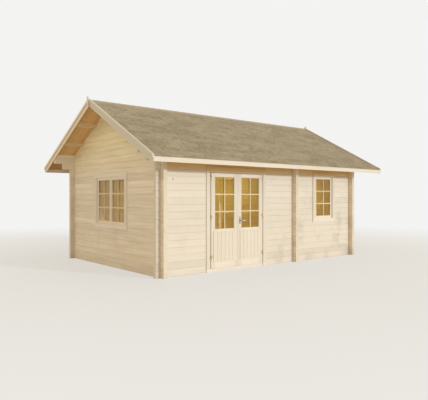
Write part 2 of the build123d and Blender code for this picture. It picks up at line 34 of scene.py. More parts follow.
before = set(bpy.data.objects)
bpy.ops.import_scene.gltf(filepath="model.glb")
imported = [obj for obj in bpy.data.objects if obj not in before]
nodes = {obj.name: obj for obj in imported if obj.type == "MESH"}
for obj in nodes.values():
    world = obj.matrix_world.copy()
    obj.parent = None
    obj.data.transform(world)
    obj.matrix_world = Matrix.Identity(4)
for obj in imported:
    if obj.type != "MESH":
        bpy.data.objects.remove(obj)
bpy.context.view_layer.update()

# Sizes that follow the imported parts
COURSE = 0.133
LOG_THICKNESS = 0.08
WALL_END = 2.90
PITCH = radians(27.9)
DECK_THICKNESS = 0.019
SHINGLE_THICKNESS = 0.006
# Height where the eave's painted shade begins on the front wall and its casings
SHADE_BAND_LINE = 1.985
EAVE_SHADE = 1.95
SASH_GAP = 0.004

# Sizes of the small pieces
BOARD_PITCH = 0.0964
BOARD_GROOVE = 0.004
BOARD_GAP = 0.0008
SHINGLE_EXPOSURE = 0.145
TAB_WIDTH = 0.3335
TAB_GAP = 0.005
TAB_BUTT = 0.86
TAB_LAP = 1.25
FELT_SHEET = 0.0026
SHEET_INSET = 0.003
RIDGE_EXPOSURE = 0.17
RIDGE_FELT = 0.0038
BAR_WIDTH = 0.031
LEAF_BAR_DEPTH = 0.015
WINDOW_BAR_DEPTH = 0.013
CROSSING_STEP = 0.0012
BEAD = 0.011
PUTTY = 0.0005
SCREW_RADIUS = 0.0042
SCREW_HEIGHT = 0.0014
SCREW_SIDES = 12
SCREW_PLACES = (0.16, 0.70, 1.385, 1.90, 2.33)
SCREW_DROPS = (0.045, 0.075)

# Colours, linear
PALE_SPRUCE = (0.872, 0.794, 0.679, 1)
WARM_SPRUCE = (0.78, 0.66, 0.49, 1)
GABLE_WARM = (0.67, 0.545, 0.38, 1)
GOLDEN_SPRUCE = (0.66, 0.39, 0.14, 1)
DEEP_GOLD = (0.50, 0.27, 0.09, 1)
KNOT_BROWN = (0.30, 0.165, 0.075, 1)
CRACK_BROWN = (0.2, 0.13, 0.07, 1)
END_PALE = (0.86, 0.77, 0.63, 1)
END_RING = (0.70, 0.57, 0.41, 1)
STAIN_AND_SHADE_GREY = (0.42, 0.37, 0.31, 1)
# Golden colours of the painted eave shade: its warm bounced light, over the warmer tone of sheltered wood
SHADE_BAND_GOLD = (0.85, 0.57, 0.20, 1)
SHADE_BAND_DEEP = (0.67, 0.41, 0.12, 1)
SOFFIT_PALE = (0.74, 0.48, 0.21, 1)
SOFFIT_DEEP = (0.56, 0.335, 0.135, 1)
SOFFIT_SHADE_BROWN = (0.30, 0.135, 0.05, 1)
PURLIN_PALE = (0.84, 0.67, 0.45, 1)
PURLIN_DEEP = (0.76, 0.52, 0.26, 1)
FLOOR_PALE = (0.72, 0.55, 0.34, 1)
JOIST_PALE = (0.70, 0.55, 0.36, 1)
BAR_PALE = (0.82, 0.66, 0.40, 1)
BAR_WARM = (0.74, 0.55, 0.29, 1)
SEAM_BROWN = (0.42, 0.30, 0.18, 1)
FELT_DARK = (0.255, 0.210, 0.140, 1)
FELT_PALE = (0.475, 0.395, 0.275, 1)
RIDGE_HIGHLIGHT = (0.50, 0.41, 0.30, 1)
GRIT_PALE = (0.62, 0.55, 0.42, 1)
GRIT_DARK = (0.12, 0.10, 0.07, 1)
PANE_WARM = (0.94, 0.915, 0.85, 1)
PANE_CLEAR = (0.96, 0.94, 0.89, 1)
PANE_SHADOW = (0.95, 0.93, 0.88, 1)
PLATED_STEEL = (0.46, 0.39, 0.34)
YELLOW_STEEL = (0.73, 0.59, 0.35)

# Tints that multiply a timber's colour
LOW_LOGS = (0.965, 0.965, 0.97, 1)
HIGH_LOGS = (1.03, 1.04, 1.07, 1)
# Painted shade on the log tails that reach past the corners, below the eave
TAIL_SHADE = (0.84, 0.82, 0.80, 1)
# Painted light: gable logs lightened against the shade they stand in, yellower towards the peak
GABLE_PAINTED_LIGHT = (1.13, 1.13, 1.12, 1)
PEAK_PAINTED_LIGHT = (1.07, 1.07, 0.90, 1)
FRONT_BARGE = (0.83, 0.83, 0.80, 1)
BACK_BARGE = (1.0, 0.98, 0.92, 1)

# Studio
BACKDROP = (0.90, 0.90, 0.89, 1)
FLOOR_DULL = (0.80, 0.795, 0.78, 1)
FLOOR_BRIGHT = (0.84, 0.835, 0.82, 1)
FLOOR_REACH = 120.0
SKY_FILL = (0.76, 0.68, 0.545, 1)
SUNLIGHT = (0.84, 0.93, 1.0)
SUN_WAY = (0.415, -0.884, 0.215)
ROOM_LIGHT = (1.0, 0.80, 0.15)
CAMERA_PLACE = (-7.721, -9.327, 1.48)
CAMERA_WAY = (0.63436, 0.77304, 0.0)
CAMERA_LENS = 40.785
CAMERA_SHIFT = -0.0077


# Small helpers for node trees

def feed(tree, inputs, sockets):
    """Set sockets, by name or number, to values, or link them to other nodes' outputs."""
    for name, value in sockets.items():
        if isinstance(value, bpy.types.NodeSocket):
            tree.links.new(value, inputs[name])
        else:
            inputs[name].default_value = value


def put(tree, kind, sockets=(), **settings):
    """Add a node, set its properties and feed its sockets."""
    made = tree.nodes.new(kind)
    for name, value in settings.items():
        setattr(made, name, value)
    feed(tree, made.inputs, dict(sockets))
    return made


def got(tree, kind, sockets=(), **settings):
    """Add a node as put does; gives its first output."""
    return put(tree, kind, sockets, **settings).outputs[0]


def maths(tree, operation, *values, clamp=False):
    """One step of arithmetic; gives the output socket."""
    return got(tree, "ShaderNodeMath", dict(enumerate(values)), operation=operation, use_clamp=clamp)


def times(tree, first, second):
    """Product of two numbers."""
    return maths(tree, "MULTIPLY", first, second)


def minus(tree, first, second):
    """Difference of two numbers."""
    return maths(tree, "SUBTRACT", first, second)


def times_plus(tree, value, factor, offset):
    """Product of two numbers, plus a third."""
    return maths(tree, "MULTIPLY_ADD", value, factor, offset)


def vector_maths(tree, operation, *values):
    """One step of arithmetic on vectors; gives the output socket."""
    made = put(tree, "ShaderNodeVectorMath", dict(enumerate(values)), operation=operation)
    return made.outputs["Value" if operation == "LENGTH" else "Vector"]


def stretched(tree, vector, factors):
    """A vector with each part multiplied by its own factor."""
    return vector_maths(tree, "MULTIPLY", vector, factors)


def ramp(tree, value, low, high):
    """0 below low and 1 above high, smooth between; low may be the greater of the two."""
    sockets = {"Value": value, "From Min": low, "From Max": high}
    return got(tree, "ShaderNodeMapRange", sockets, interpolation_type="SMOOTHSTEP")


def mix(tree, factor, first, second, blend="MIX"):
    """Mix of two colours; gives the output socket."""
    sockets = {0: factor, 6: first, 7: second}
    return put(tree, "ShaderNodeMix", sockets, data_type="RGBA", blend_type=blend).outputs[2]


def split(tree, vector):
    """The three numbers of a vector."""
    return put(tree, "ShaderNodeSeparateXYZ", {0: vector}).outputs


def join(tree, x, y, z):
    """A vector of three numbers."""
    return got(tree, "ShaderNodeCombineXYZ", {0: x, 1: y, 2: z})


def noise(tree, vector, scale, detail=2.0, roughness=0.5):
    """Smooth noise between 0 and 1."""
    sockets = {"Vector": vector, "Scale": scale, "Detail": detail, "Roughness": roughness}
    return got(tree, "ShaderNodeTexNoise", sockets)


def chance(tree, first, second):
    """An even random number for a pair of whole numbers."""
    return put(tree, "ShaderNodeTexWhiteNoise", {"Vector": join(tree, first, second, 0.0)}).outputs["Value"]


def new_group(name, inputs, outputs):
    """Empty shader group with named sockets; gives the tree, its inputs and those of its output node."""
    tree = bpy.data.node_groups.new(name, "ShaderNodeTree")
    for label, kind, value in inputs:
        socket = tree.interface.new_socket(label, in_out="INPUT", socket_type=f"NodeSocket{kind}")
        if value is not None:
            socket.default_value = value
    for label, kind in outputs:
        tree.interface.new_socket(label, in_out="OUTPUT", socket_type=f"NodeSocket{kind}")
    return tree, tree.nodes.new("NodeGroupInput").outputs, tree.nodes.new("NodeGroupOutput").inputs


def use(tree, group, sockets):
    """Place a shader group and feed it; gives its outputs."""
    return put(tree, "ShaderNodeGroup", sockets, node_tree=group).outputs


# Shader groups that several finishes share

def make_grain_group():
    """Sawn softwood with fibres along X: growth bands, fine fibres, and knots that bend the bands."""
    tree, given, result = new_group(
        "Softwood grain",
        [
            ("Position", "Vector", None),
            ("Seed", "Float", 0.0),
            ("Pale", "Color", PALE_SPRUCE),
            ("Warm", "Color", WARM_SPRUCE),
            ("Knot Share", "Float", 0.3),
            ("Contrast", "Float", 0.5),
            ("Board Play", "Float", 0.15),
        ],
        [("Color", "Color"), ("Height", "Float"), ("Roughness", "Float")],
    )
    seed = given["Seed"]
    shift = join(tree, times(tree, seed, 37.0), times(tree, seed, 5.3), seed)
    spot = vector_maths(tree, "ADD", given["Position"], shift)
    cells = put(tree, "ShaderNodeTexVoronoi", {"Vector": spot, "Scale": 4.4}).outputs
    distance = cells["Distance"]
    chosen = maths(tree, "LESS_THAN", split(tree, cells["Color"])[0], given["Knot Share"])
    knot = times(tree, ramp(tree, distance, 0.085, 0.05), chosen)
    rim = times(tree, ramp(tree, distance, 0.12, 0.07), chosen)
    swirl = times(tree, ramp(tree, distance, 0.34, 0.04), chosen)
    bent = stretched(tree, spot, (0.12, 1.0, 1.0))
    bent = vector_maths(tree, "ADD", bent, join(tree, 0.0, 0.0, times(tree, swirl, 0.03)))
    waves = {"Vector": bent, "Scale": 17.0, "Distortion": 7.0, "Detail": 2.0, "Detail Scale": 0.35}
    bands = put(tree, "ShaderNodeTexWave", waves, wave_type="BANDS", bands_direction="Z").outputs["Fac"]
    broad = noise(tree, stretched(tree, spot, (0.7, 7.0, 7.0)), 1.0)
    fibre = noise(tree, stretched(tree, spot, (9.0, 260.0, 260.0)), 1.0, 3.0, 0.6)
    streak = noise(tree, stretched(tree, spot, (1.3, 27.0, 27.0)), 1.0, 3.0)
    tone = times_plus(tree, bands, 0.30, times(tree, broad, 0.30))
    tone = times_plus(tree, streak, 0.60, tone)
    tone = times(tree, ramp(tree, tone, 0.25, 0.95), given["Contrast"])
    colour = mix(tree, tone, given["Pale"], given["Warm"])
    colour = mix(tree, times(tree, rim, 0.3), colour, DEEP_GOLD)
    colour = mix(tree, times(tree, knot, 0.4), colour, KNOT_BROWN)
    board = minus(tree, chance(tree, seed, 3.0), 0.5)
    light = times_plus(tree, board, given["Board Play"], 0.975)
    colour = mix(tree, 1.0, colour, join(tree, light, light, light), "MULTIPLY")
    height = times_plus(tree, bands, 0.25, times(tree, fibre, 0.5))
    height = times_plus(tree, knot, -0.3, height)
    feed(tree, result, {"Color": colour, "Height": height, "Roughness": times_plus(tree, fibre, 0.25, 0.5)})
    return tree


def make_end_group():
    """Sawn end of a log: growth rings round a pith that lies off the middle, and small cracks."""
    tree, given, result = new_group(
        "End grain",
        [("Across", "Float", 0.0), ("Up", "Float", 0.0), ("Seed", "Float", 0.0)],
        [("Color", "Color"), ("Height", "Float")],
    )
    seed = given["Seed"]
    pith_across = times_plus(tree, chance(tree, seed, 1.0), 0.05, -0.025)
    pith_up = times_plus(tree, chance(tree, seed, 2.0), 0.06, -0.03)
    across = minus(tree, given["Across"], pith_across)
    up = minus(tree, given["Up"], pith_up)
    radius = vector_maths(tree, "LENGTH", join(tree, across, up, 0.0))
    wobble = times(tree, noise(tree, join(tree, across, up, seed), 22.0), 0.012)
    rings = maths(tree, "FRACT", times(tree, maths(tree, "ADD", radius, wobble), 190.0))
    angle = maths(tree, "ARCTAN2", up, across)
    crack = noise(tree, join(tree, times(tree, angle, 2.6), seed, 0.0), 1.0, 1.0)
    crack = times(tree, ramp(tree, crack, 0.66, 0.72), ramp(tree, radius, 0.004, 0.02))
    colour = mix(tree, times(tree, rings, 0.65), END_PALE, END_RING)
    colour = mix(tree, times(tree, crack, 0.5), colour, CRACK_BROWN)
    feed(tree, result, {"Color": colour, "Height": times_plus(tree, crack, -1.0, times(tree, rings, 0.3))})
    return tree


def make_joint_group():
    """Boards side by side: the number of the board at a place, a mask along the joints, and the distance
    from the board's middle."""
    tree, given, result = new_group(
        "Board joints",
        [
            ("Place", "Float", 0.0),
            ("Pitch", "Float", COURSE),
            ("Phase", "Float", 0.0),
            ("Width", "Float", BOARD_GROOVE),
        ],
        [("Number", "Float"), ("Joint", "Float"), ("Middle", "Float")],
    )
    steps = maths(tree, "DIVIDE", minus(tree, given["Place"], given["Phase"]), given["Pitch"])
    off = minus(tree, maths(tree, "FRACT", steps), 0.5)
    edge = minus(tree, 0.5, maths(tree, "ABSOLUTE", off))
    joint = ramp(tree, times(tree, edge, given["Pitch"]), given["Width"], 0.0)
    number = maths(tree, "FLOOR", steps)
    feed(tree, result, {"Number": number, "Joint": joint, "Middle": times(tree, off, given["Pitch"])})
    return tree


def make_stain_and_shade_group():
    """Greyish stains and painted dappled shade: cloudy, stronger near the ground and on the right, and dust
    at the foot.
    """
    tree, given, result = new_group(
        "Weathering",
        [("Color", "Color", PALE_SPRUCE), ("Position", "Vector", None), ("Amount", "Float", 0.5)],
        [("Color", "Color")],
    )
    spot = given["Position"]
    clouds = noise(tree, spot, 2.0, 5.0, 0.66)
    parts = split(tree, spot)
    low = ramp(tree, parts["Z"], 1.9, 0.6)
    foot = ramp(tree, parts["Z"], 0.16, 0.0)
    # Painted shade: the grey clouds are stronger on the right and low down, as the dappled shade of plants
    # outside
    shade_side = times_plus(tree, ramp(tree, parts["X"], -0.6, 1.2), 0.8, 0.3)
    mask = times(tree, ramp(tree, clouds, 0.46, 0.72), times_plus(tree, low, 0.4, 0.1))
    mask = times_plus(tree, foot, 0.12, times(tree, mask, shade_side))
    mask = maths(tree, "MULTIPLY", mask, given["Amount"], clamp=True)
    feed(tree, result, {"Color": mix(tree, mask, given["Color"], STAIN_AND_SHADE_GREY)})
    return tree


GRAIN = make_grain_group()
END_GRAIN = make_end_group()
JOINTS = make_joint_group()
STAINS_AND_SHADE = make_stain_and_shade_group()


# Finishes

def new_material(name):
    """New material; gives it, its tree and its Principled shader."""
    made = bpy.data.materials.new(name)
    made.use_nodes = True
    return made, made.node_tree, made.node_tree.nodes["Principled BSDF"]


def object_spot(tree):
    """Place and normal in the object's own coordinates."""
    coordinates = put(tree, "ShaderNodeTexCoord").outputs
    return coordinates["Object"], coordinates["Normal"]


def relief(tree, height, strength, distance):
    """Normal of a surface with small relief."""
    return got(tree, "ShaderNodeBump", {"Height": height, "Strength": strength, "Distance": distance})


def grained(tree, position, seed, pale=PALE_SPRUCE, warm=WARM_SPRUCE, knots=0.3, contrast=0.5, play=0.15):
    """Softwood grain with its fibres along the position's first part; gives the group's outputs."""
    sockets = {"Position": position, "Seed": seed, "Pale": pale, "Warm": warm}
    return use(tree, GRAIN, sockets | {"Knot Share": knots, "Contrast": contrast, "Board Play": play})


def finish_timber(tree, shader, colour, roughness, height, spot, stain_and_shade):
    """Common end of every timber finish."""
    sockets = {
        "Base Color": use(tree, STAINS_AND_SHADE, {"Color": colour, "Position": spot, "Amount": stain_and_shade})[0],
        "Roughness": roughness,
        "Specular IOR Level": 0.3,
        "Normal": relief(tree, height, 0.6, 0.002),
    }
    feed(tree, shader.inputs, sockets)


def log_timber(name, along_x, phase, wall):
    """Stacked logs: every course has grain of its own, their ends show rings, and the bed lines are dark."""
    made, tree, shader = new_material(name)
    spot, normal = object_spot(tree)
    x, y, z = split(tree, spot)
    along, across = (x, y) if along_x else (y, x)
    joints = use(tree, JOINTS, {"Place": z, "Pitch": COURSE, "Phase": phase, "Width": 0.0035})
    seed = times(tree, chance(tree, joints["Number"], wall), 9.0)
    seed = maths(tree, "ADD", seed, times(tree, maths(tree, "FLOOR", across), 2.0))
    position = join(tree, along, across, z)
    if along_x:
        grain = grained(tree, position, seed, knots=0.02, contrast=0.65, play=0.12)
        shade_band = grained(tree, position, seed, SHADE_BAND_GOLD, SHADE_BAND_DEEP, knots=0.2, contrast=0.7)
        out = maths(tree, "ABSOLUTE", x)
        inside = ramp(tree, out, WALL_END + 0.015, WALL_END - 0.015)
        outside = ramp(tree, out, WALL_END - 0.015, WALL_END + 0.015)
        # Painted shade: under the eave the logs turn golden, as in the eave's shadow with its warm bounce
        eave_shaded = times(tree, ramp(tree, z, 1.9, 2.1), inside)
        # Paler and cooler towards the top of the wall, darker towards the bottom
        height_tint = mix(tree, ramp(tree, z, 0.5, 1.7), LOW_LOGS, HIGH_LOGS)
        colour = mix(tree, 1.0, grain["Color"], height_tint, "MULTIPLY")
        colour = mix(tree, times(tree, eave_shaded, 0.92), colour, shade_band["Color"])
        # Painted shade: log tails beyond the wall ends are darkened and greyed, as in their shade
        tail_shade = times(tree, outside, ramp(tree, z, 2.0, 1.95))
        colour = mix(tree, tail_shade, colour, TAIL_SHADE, "MULTIPLY")
        depth = times_plus(tree, ramp(tree, y, -1.8, -1.6), 0.3, 0.1)
    else:
        grain = grained(tree, position, seed, warm=GABLE_WARM, knots=0.08, contrast=1.0, play=0.13)
        # Painted light: gable logs made lighter, and yellower towards the peak, to offset their shade
        colour = mix(tree, 1.0, grain["Color"], GABLE_PAINTED_LIGHT, "MULTIPLY")
        colour = mix(tree, ramp(tree, z, 1.7, 2.7), colour, PEAK_PAINTED_LIGHT, "MULTIPLY")
        depth = 0.4
    thick = minus(tree, across, maths(tree, "SNAP", across, LOG_THICKNESS))
    off_middle = minus(tree, thick, LOG_THICKNESS / 2)
    end = use(tree, END_GRAIN, {"Across": off_middle, "Up": joints["Middle"], "Seed": seed})
    facing = maths(tree, "ABSOLUTE", split(tree, normal)[0 if along_x else 1])
    is_end = maths(tree, "GREATER_THAN", facing, 0.9)
    colour = mix(tree, is_end, colour, end["Color"])
    colour = mix(tree, times(tree, joints["Joint"], depth), colour, SEAM_BROWN)
    height = mix(tree, is_end, grain["Height"], end["Height"])
    height = times_plus(tree, joints["Joint"], -0.5, height)
    finish_timber(tree, shader, colour, grain["Roughness"], height, spot, 0.8)
    return made


def board_timber(name, place, turned, pitch, pale, warm, knots=0.22, stain_and_shade=0.3, play=0.15, eave=None):
    """Sawn boards. place gives the board's number from this axis and pitch; turned orders the axes as
    along, across and through. eave is the distance from the middle beyond which soffit boards turn brown, a
    painted shade towards the eave."""
    made, tree, shader = new_material(name)
    spot, normal = object_spot(tree)
    axes = split(tree, spot)
    joints = use(tree, JOINTS, {"Place": axes[place], "Pitch": pitch, "Phase": 0.0, "Width": 0.002})
    seed = times(tree, chance(tree, joints["Number"], 5.0), 9.0)
    ordered = join(tree, *(axes[n] for n in turned))
    grain = grained(tree, ordered, seed, pale, warm, knots, 0.65, play)
    facing = maths(tree, "ABSOLUTE", split(tree, normal)[turned[0]])
    is_end = maths(tree, "GREATER_THAN", facing, 0.95)
    colour = mix(tree, times(tree, is_end, 0.6), grain["Color"], END_RING)
    if eave is not None:
        # Painted shade: soffit boards darken towards the eave, outside the wall line
        reach = ramp(tree, maths(tree, "ABSOLUTE", axes[1]), eave, eave + 0.3)
        colour = mix(tree, times(tree, reach, 0.65), colour, SOFFIT_SHADE_BROWN)
    finish_timber(tree, shader, colour, grain["Roughness"], grain["Height"], spot, stain_and_shade)
    return made


def frame_timber(name, across, test, middle, half, centre, shade_line=None):
    """Joinery of uprights and rails, told apart by the distance from the middle on the test axis: with the
    height as that axis, uprights lie within half and rails beyond it, and with a level axis the other way
    round. across is the piece's level axis, centre the place on it that parts the uprights, and the last
    argument is the height above which the timber turns golden: a painted eave shade with its warm bounce,
    over the warmer tone that sheltered wood keeps."""
    made, tree, shader = new_material(name)
    spot = object_spot(tree)[0]
    axes = split(tree, spot)
    level, up, through = axes[across], axes[2], axes[1 - across]
    distance = maths(tree, "ABSOLUTE", minus(tree, axes[test], middle))
    upright = maths(tree, "LESS_THAN" if test == 2 else "GREATER_THAN", distance, half)
    rail_seed = times_plus(tree, maths(tree, "GREATER_THAN", axes[test], middle), 1.7, 2.3)
    upright_seed = times_plus(tree, maths(tree, "GREATER_THAN", level, centre), 2.9, 0.6)
    ways = {0: upright, 4: join(tree, level, through, up), 5: join(tree, up, through, level)}
    position = put(tree, "ShaderNodeMix", ways, data_type="VECTOR").outputs[1]
    seed = got(tree, "ShaderNodeMix", {0: upright, 2: rail_seed, 3: upright_seed})
    grain = grained(tree, position, seed, knots=0.1)
    colour = grain["Color"]
    if shade_line is not None:
        shade_band = mix(tree, ramp(tree, grain["Height"], 0.2, 0.6), SHADE_BAND_GOLD, SHADE_BAND_DEEP)
        # Painted shade: above the line the timber turns golden, as in the eave's shadow
        eave_shaded = times(tree, ramp(tree, up, shade_line - 0.02, shade_line + 0.02), 0.85)
        colour = mix(tree, eave_shaded, colour, shade_band)
    seam = ramp(tree, maths(tree, "ABSOLUTE", minus(tree, distance, half)), 0.0016, 0.0004)
    colour = mix(tree, times(tree, seam, 0.35), colour, SEAM_BROWN)
    height = times_plus(tree, seam, -1.0, grain["Height"])
    finish_timber(tree, shader, colour, grain["Roughness"], height, spot, 0.35)
    return made


def slope_timber(name, seed):
    """Boards that run up both slopes of the roof, with their grain along the slope."""
    made, tree, shader = new_material(name)
    spot, normal = object_spot(tree)
    x, y, z = split(tree, spot)
    out = maths(tree, "ABSOLUTE", y)
    side = maths(tree, "GREATER_THAN", y, 0.0)
    along = minus(tree, times(tree, out, cos(PITCH)), times(tree, z, sin(PITCH)))
    through = maths(tree, "ADD", times(tree, out, sin(PITCH)), times(tree, z, cos(PITCH)))
    number = times_plus(tree, side, 2.1, maths(tree, "FLOOR", maths(tree, "ADD", x, seed)))
    grain = grained(tree, join(tree, along, x, through), number, knots=0.15, contrast=0.55)
    toned = mix(tree, side, FRONT_BARGE, BACK_BARGE)
    colour = mix(tree, 1.0, grain["Color"], toned, "MULTIPLY")
    # Painted shade: faces that look down, such as the barge boards' undersides, darkened to golden brown
    underside_shade = ramp(tree, split(tree, normal)[2], -0.4, -0.6)
    colour = mix(tree, times(tree, underside_shade, 0.9), colour, SOFFIT_DEEP)
    finish_timber(tree, shader, colour, grain["Roughness"], grain["Height"], spot, 0.3)
    return made


def shingle_felt(name):
    """Gritted bitumen shingles: each tab has a tone of its own, with grit, streaks and a painted highlight
    along the ridge.
    """
    made, tree, shader = new_material(name)
    spot = object_spot(tree)[0]
    tone = put(tree, "ShaderNodeAttribute", attribute_name="tab_tone").outputs["Fac"]
    grit = noise(tree, spot, 420.0, 2.0, 0.7)
    coarse = put(tree, "ShaderNodeTexVoronoi", {"Vector": spot, "Scale": 260.0}).outputs["Color"]
    coarse = split(tree, coarse)[0]
    streak = noise(tree, stretched(tree, spot, (10.0, 19.0, 19.0)), 1.0, 2.0, 0.6)
    shade = times_plus(tree, tone, 0.22, times(tree, streak, 0.87))
    shade = times_plus(tree, noise(tree, spot, 0.7, 2.0), 0.08, shade)
    shade = times_plus(tree, coarse, 0.12, shade)
    colour = mix(tree, ramp(tree, shade, 0.27, 1.02), FELT_DARK, FELT_PALE)
    # Painted highlight: the felt is paler along the ridge
    ridge_highlight = ramp(tree, maths(tree, "ABSOLUTE", split(tree, spot)[1]), 0.20, 0.02)
    colour = mix(tree, ridge_highlight, colour, RIDGE_HIGHLIGHT)
    colour = mix(tree, times(tree, ramp(tree, grit, 0.58, 0.75), 0.5), colour, GRIT_PALE)
    colour = mix(tree, times(tree, ramp(tree, grit, 0.40, 0.27), 0.5), colour, GRIT_DARK)
    sockets = {
        "Base Color": colour,
        "Roughness": times_plus(tree, coarse, 0.12, 0.82),
        "Specular IOR Level": 0.25,
        "Normal": relief(tree, maths(tree, "ADD", grit, coarse), 0.7, 0.0015),
    }
    feed(tree, shader.inputs, sockets)
    return made


def show_as(tree, share, first, second):
    """Let the material's surface be a mix of two shaders' outputs."""
    both = got(tree, "ShaderNodeMixShader", {0: share, 1: first, 2: second})
    tree.links.new(both, tree.nodes["Material Output"].inputs["Surface"])


def clear_glass(name):
    """Clear pane with a faint warm tint, soft waves and a few smears; light passes it without a caustic."""
    made, tree, shader = new_material(name)
    spot = object_spot(tree)[0]
    smear = noise(tree, stretched(tree, spot, (5.0, 5.0, 2.0)), 1.0, 4.0, 0.6)
    sockets = {
        "Base Color": mix(tree, smear, PANE_WARM, PANE_CLEAR),
        "Roughness": times(tree, ramp(tree, smear, 0.5, 0.8), 0.05),
        "Transmission Weight": 1.0,
        "IOR": 1.2,
        "Normal": relief(tree, noise(tree, spot, 3.0, 1.0), 0.03, 0.002),
    }
    feed(tree, shader.inputs, sockets)
    shadow = put(tree, "ShaderNodeLightPath").outputs["Is Shadow Ray"]
    show_as(tree, shadow, shader.outputs[0], got(tree, "ShaderNodeBsdfTransparent", {"Color": PANE_SHADOW}))
    return made


def metal(name, colour, roughness, stretch):
    """Brushed or turned metal with fine scratches and dull spots."""
    made, tree, shader = new_material(name)
    spot = object_spot(tree)[0]
    brush = noise(tree, stretched(tree, spot, stretch), 1.0, 3.0, 0.6)
    dull = noise(tree, spot, 45.0, 3.0)
    dark = tuple(0.6 * part for part in colour) + (1,)
    tone = times_plus(tree, brush, 0.5, times(tree, dull, 0.5))
    sockets = {
        "Base Color": mix(tree, tone, dark, colour + (1,)),
        "Roughness": times_plus(tree, dull, 0.3, roughness),
        "Metallic": 1.0,
        "Normal": relief(tree, brush, 0.25, 0.0004),
    }
    feed(tree, shader.inputs, sockets)
    return made


ALONG_X, ALONG_Y = (0, 1, 2), (1, 0, 2)
UP_FACING_X, UP_FACING_Y = (2, 1, 0), (2, 0, 1)
SPRUCE = (PALE_SPRUCE, WARM_SPRUCE)

LOGS_X = log_timber("Long wall logs", True, 0.0, 1.0)
LOGS_Y = log_timber("Gable wall logs", False, COURSE / 2, 2.0)
PURLINS = board_timber("Purlin timber", 1, ALONG_X, 0.3, PURLIN_PALE, PURLIN_DEEP)
FASCIA = board_timber("Fascia timber", 1, ALONG_X, 3.0, *SPRUCE, knots=0.15)
BARGE = slope_timber("Barge board timber", 0.4)
STRIPS = slope_timber("Barge strip timber", 7.7)
SOFFIT = board_timber(
    "Soffit boards", 0, ALONG_Y, BOARD_PITCH, SOFFIT_PALE, SOFFIT_DEEP, 0.3, 0.0, 0.2, EAVE_SHADE
)
FLOOR = board_timber("Floor boards", 1, ALONG_X, BOARD_PITCH, FLOOR_PALE, GOLDEN_SPRUCE, 0.3, 0.0)
JOISTS = board_timber("Joist timber", 0, ALONG_Y, 0.3, JOIST_PALE, GOLDEN_SPRUCE)
UPRIGHTS = board_timber("Upright board timber", 0, UP_FACING_X, 0.097, *SPRUCE, knots=0.12, play=0.05)
BARS = board_timber("Glazing bar timber", 2, UP_FACING_Y, 0.4, BAR_PALE, BAR_WARM, 0.0, 0.1)
FELT = shingle_felt("Gritted felt")
GLASS = clear_glass("Window glass")
STEEL = metal("Brushed steel", PLATED_STEEL, 0.36, (40.0, 40.0, 900.0))
BRASSED = metal("Yellow plated steel", YELLOW_STEEL, 0.42, (300.0, 300.0, 300.0))


def give(material, *names):
    """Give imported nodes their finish."""
    for name in names:
        slots = nodes[name].data.materials
        slots.clear()
        slots.append(material)


give(LOGS_X, "front_wall_left", "front_wall_right", "front_wall_over_door", "back_wall")
give(LOGS_X, "front_plate", "back_plate")
give(LOGS_Y, "left_wall", "right_wall", "left_gable", "right_gable")
give(LOGS_Y, "partition_front", "partition_back", "partition_over_doorway", "partition_gable")
give(PURLINS, "side_purlins", "ridge_purlin")
give(FASCIA, "fascia_boards")
give(BARGE, "barge_boards_left", "barge_boards_right")
give(STRIPS, "barge_strips")
give(UPRIGHTS, "finials", "left_leaf_panel", "right_leaf_panel")
give(JOISTS, "floor_joists")
give(BRASSED, "frame_hinges", "left_leaf_hinges", "right_leaf_hinges")
give(STEEL, "door_handle")
give(GLASS, *(name for name in nodes if name.endswith("_glass")))


def give_joinery(name, node, pane, across, by_height, shade_line=None):
    """Finish a frame whose uprights and rails meet at the edge of the opening that the pane node shows."""
    low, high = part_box(pane)
    test = 2 if by_height else across
    middle = (low[test] + high[test]) / 2
    half = (high[test] - low[test]) / 2
    centre = (low[across] + high[across]) / 2
    give(frame_timber(name, across, test, middle, half, centre, shade_line), node)


for side in ("left", "right"):
    give_joinery(f"{side.capitalize()} leaf timber", f"{side}_leaf_frame", f"{side}_leaf_glass", 0, False)
for word, across in (("front", 0), ("gable", 1)):
    title, window = word.capitalize(), f"{word}_window"
    give_joinery(f"{title} sash timber", f"{window}_sash", f"{window}_glass", across, True)
    give_joinery(f"{title} lining timber", f"{window}_frame", f"{window}_sash", across, True)
    # Front casings take the eave's painted shade at their heads
    shade_line = SHADE_BAND_LINE if across == 0 else None
    give_joinery(f"{title} casing timber", f"{window}_casing", f"{window}_sash", across, True, shade_line)
give_joinery("Door frame timber", "door_frame", "left_leaf_frame", 0, True)
give_joinery("Door casing timber", "door_casing", "left_leaf_frame", 0, True, SHADE_BAND_LINE)


# Geometry trees for what repeats

def new_tree(name, **inputs):
    """Geometry tree with inputs of these kinds, underscores standing for spaces in their names; gives the
    tree, its inputs and its output socket."""
    tree = bpy.data.node_groups.new(name, "GeometryNodeTree")
    tree.interface.new_socket("Geometry", in_out="INPUT", socket_type="NodeSocketGeometry")
    for label, kind in inputs.items():
        tree.interface.new_socket(label.replace("_", " "), in_out="INPUT", socket_type=f"NodeSocket{kind}")
    tree.interface.new_socket("Geometry", in_out="OUTPUT", socket_type="NodeSocketGeometry")
    return tree, tree.nodes.new("NodeGroupInput").outputs, tree.nodes.new("NodeGroupOutput").inputs[0]


def end_tree(tree, geometry, material, result):
    """Realize Instances and Set Material, which every tree ends in."""
    real = got(tree, "GeometryNodeRealizeInstances", {0: geometry})
    painted = got(tree, "GeometryNodeSetMaterial", {"Geometry": real, "Material": material})
    tree.links.new(painted, result)


